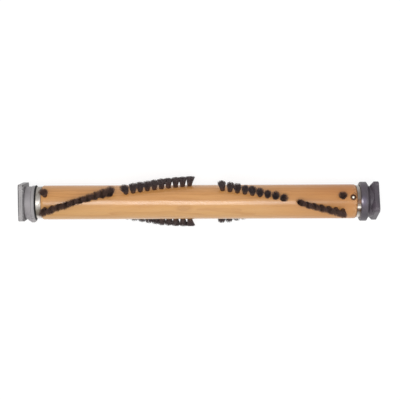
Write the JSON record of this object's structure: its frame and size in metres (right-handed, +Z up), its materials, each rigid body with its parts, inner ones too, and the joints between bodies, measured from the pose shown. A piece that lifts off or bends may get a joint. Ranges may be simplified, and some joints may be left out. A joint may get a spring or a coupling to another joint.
{
  "type": "vacuum brush roll",
  "caption": "Wooden vacuum brush roll with twin V rows of dark bristle tufts, a bare belt track, steel ferrules and moulded end caps on ball bearings.",
  "frame": {"origin": "on the spin axis, midway between the outer faces of the two end caps", "axes": "+X along the spin axis towards the dark cap, +Z up through the middle of row a, +Y across the roll"},
  "size_m": [0.344, 0.0498, 0.0506],
  "materials": {
    "lacquered_wood": "clear gloss lacquer over turned hardwood",
    "bristle": "dark nylon filament, trimmed tips",
    "anchor_wire": "drawn flat wire",
    "axle_steel": "ground bar",
    "ferrule_steel": "bright plated pressing",
    "bearing_steel": "ground and polished",
    "cage_nylon": "natural nylon",
    "black_felt": "pressed felt",
    "pale_cap": "moulded, fine satin",
    "dark_cap": "moulded, fine satin"
  },
  "bodies": {
    "left_cap": {"left_end_cap": "pale_cap", "left_outer_race": "bearing_steel", "left_bearing_shields": "bearing_steel", "left_felt_seal": "black_felt"},
    "roller": {"wooden_core": "lacquered_wood", "tufts_row_a_left_outer": "bristle", "tufts_row_a_left_inner": "bristle", "tufts_row_a_right_inner": "bristle", "tufts_row_a_right_outer": "bristle", "tufts_row_b_left_outer": "bristle", "tufts_row_b_left_inner": "bristle", "tufts_row_b_right_inner": "bristle", "tufts_row_b_right_outer": "bristle", "edge_tufts_left": "bristle", "edge_tufts_right": "bristle", "tuft_anchors_row_a": "anchor_wire", "tuft_anchors_row_b": "anchor_wire", "tuft_anchors_edge": "anchor_wire", "left_axle": "axle_steel", "left_axle_pin": "axle_steel", "left_ferrule": "ferrule_steel", "left_spacer": "axle_steel", "left_retaining_ring": "axle_steel", "left_inner_race": "bearing_steel", "right_axle": "axle_steel", "right_axle_pin": "axle_steel", "right_ferrule": "ferrule_steel", "right_spacer": "axle_steel", "right_retaining_ring": "axle_steel", "right_inner_race": "bearing_steel"},
    "left_cage": {"left_bearing_balls": "bearing_steel", "left_bearing_cage": "cage_nylon"},
    "right_cap": {"right_end_cap": "dark_cap", "right_outer_race": "bearing_steel", "right_bearing_shields": "bearing_steel", "right_felt_seal": "black_felt"},
    "right_cage": {"right_bearing_balls": "bearing_steel", "right_bearing_cage": "cage_nylon"}
  },
  "joints": [
    {"name": "roller_spin", "type": "hinge", "parent": "left_cap", "child": "roller", "pos_m": [-0.1624, 0, 0], "axis": [1, 0, 0], "continuous": true},
    {"name": "left_cage_spin", "type": "hinge", "parent": "left_cap", "child": "left_cage", "pos_m": [-0.1624, 0, 0], "axis": [1, 0, 0], "continuous": true},
    {"name": "right_cap_spin", "type": "hinge", "parent": "roller", "child": "right_cap", "pos_m": [0.1624, 0, 0], "axis": [1, 0, 0], "continuous": true},
    {"name": "right_cage_spin", "type": "hinge", "parent": "roller", "child": "right_cage", "pos_m": [0.1624, 0, 0], "axis": [1, 0, 0], "continuous": true}
  ],
  "couplings": [
    {"joint": "left_cage_spin", "follows": "roller_spin", "ratio": 0.36773},
    {"joint": "right_cage_spin", "follows": "right_cap_spin", "ratio": 0.63227}
  ]
}
